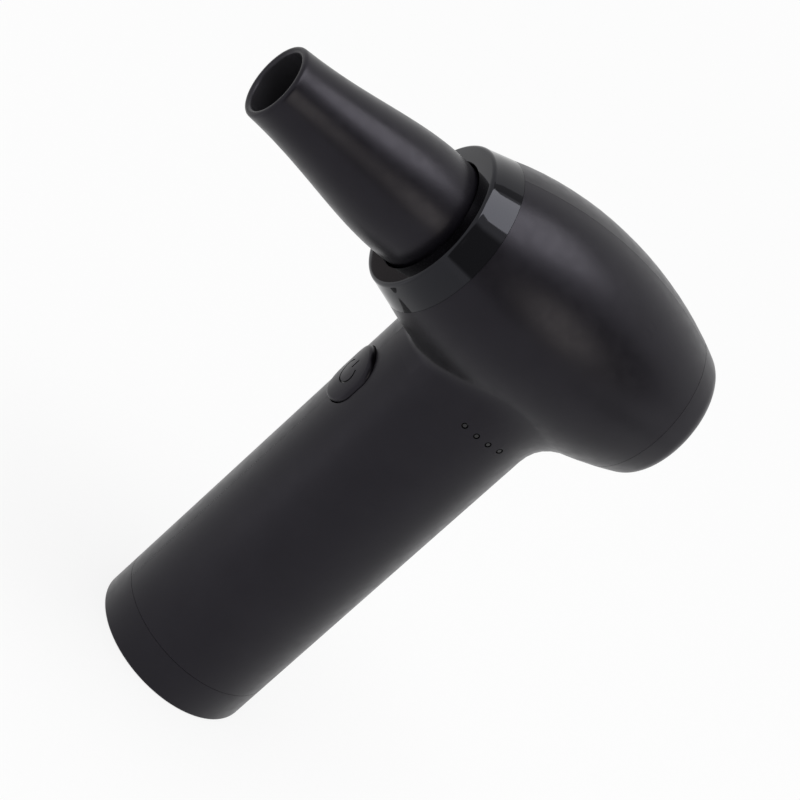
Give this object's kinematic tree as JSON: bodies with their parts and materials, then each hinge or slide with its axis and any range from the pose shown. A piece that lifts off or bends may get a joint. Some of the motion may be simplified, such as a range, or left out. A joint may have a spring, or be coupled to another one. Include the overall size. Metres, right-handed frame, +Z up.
{
  "type": "cordless handheld air blower",
  "caption": "Cordless handheld air blower for drying cars, with a straight battery handle, an egg-shaped fan head, a gloss collar ring and a pull-off trumpet nozzle.",
  "frame": {"origin": "centre of the base face, on the handle's axis", "axes": "+Z up the handle, the nozzle points along -X and rises 5.5 degrees, +Y to the tool's right, indicator row on the -Y side"},
  "size_m": [0.139, 0.055, 0.168],
  "materials": {
    "housing_black": "fine matt moulding",
    "gloss_black": "piano-black gloss",
    "inner_plastic": "plain moulding",
    "impeller_grey": "glass-filled moulding",
    "seal_rubber": "silicone",
    "filter_mesh": "open foam pad",
    "steel": "ground steel",
    "copper_wire": "enamelled copper",
    "nickel": "nickel plate",
    "white_plastic": "plain",
    "chip_black": "moulded resin",
    "board_green": "solder mask",
    "lens_smoke": "smoked clear",
    "cell_wrap": null,
    "wire_red": "silicone insulation",
    "wire_yellow": "silicone insulation"
  },
  "bodies": {
    "housing": {"left_shell": "housing_black", "right_shell": "housing_black", "collar_ring": "gloss_black", "rear_cover": "housing_black", "intake_filter": "filter_mesh", "base_cap": "housing_black", "outlet_sleeve": "inner_plastic", "fan_duct": "inner_plastic", "tail_cone": "inner_plastic", "stator_core": "steel", "stator_coils": "copper_wire", "rear_bearing": "steel", "front_bearing": "steel", "rear_damper": "seal_rubber", "front_damper": "seal_rubber", "button_switch": "chip_black", "control_board": "board_green", "board_parts": "chip_black", "indicator_board": "board_green", "indicator_leds": "white_plastic", "indicator_lenses": "lens_smoke", "battery_cells": "cell_wrap", "lower_cell_holder": "inner_plastic", "upper_cell_holder": "inner_plastic", "nickel_strips": "nickel", "charge_board": "board_green", "charge_socket": "nickel", "battery_leads": "wire_red", "motor_leads": "wire_yellow", "housing_screws": "steel"},
    "nozzle": {"nozzle": "housing_black", "nozzle_seal": "seal_rubber"},
    "button": {"power_button": "housing_black", "switch_stem": "white_plastic"},
    "rotor": {"impeller": "impeller_grey", "motor_shaft": "steel", "rotor_magnet": "steel"}
  },
  "joints": [
    {"name": "nozzle_pull", "type": "slide", "parent": "housing", "child": "nozzle", "axis": [-0.9954, 0, 0.0958], "range_m": [0, 0.02]},
    {"name": "button_press", "type": "slide", "parent": "housing", "child": "button", "axis": [1, 0, 0], "range_m": [0, 0.0006], "stiffness_N_per_m": 2500, "springref_m": -0.0006},
    {"name": "fan_spin", "type": "hinge", "parent": "housing", "child": "rotor", "pos_m": [0, 0, 0.14], "axis": [-0.9954, 0, 0.0958], "continuous": true}
  ]
}
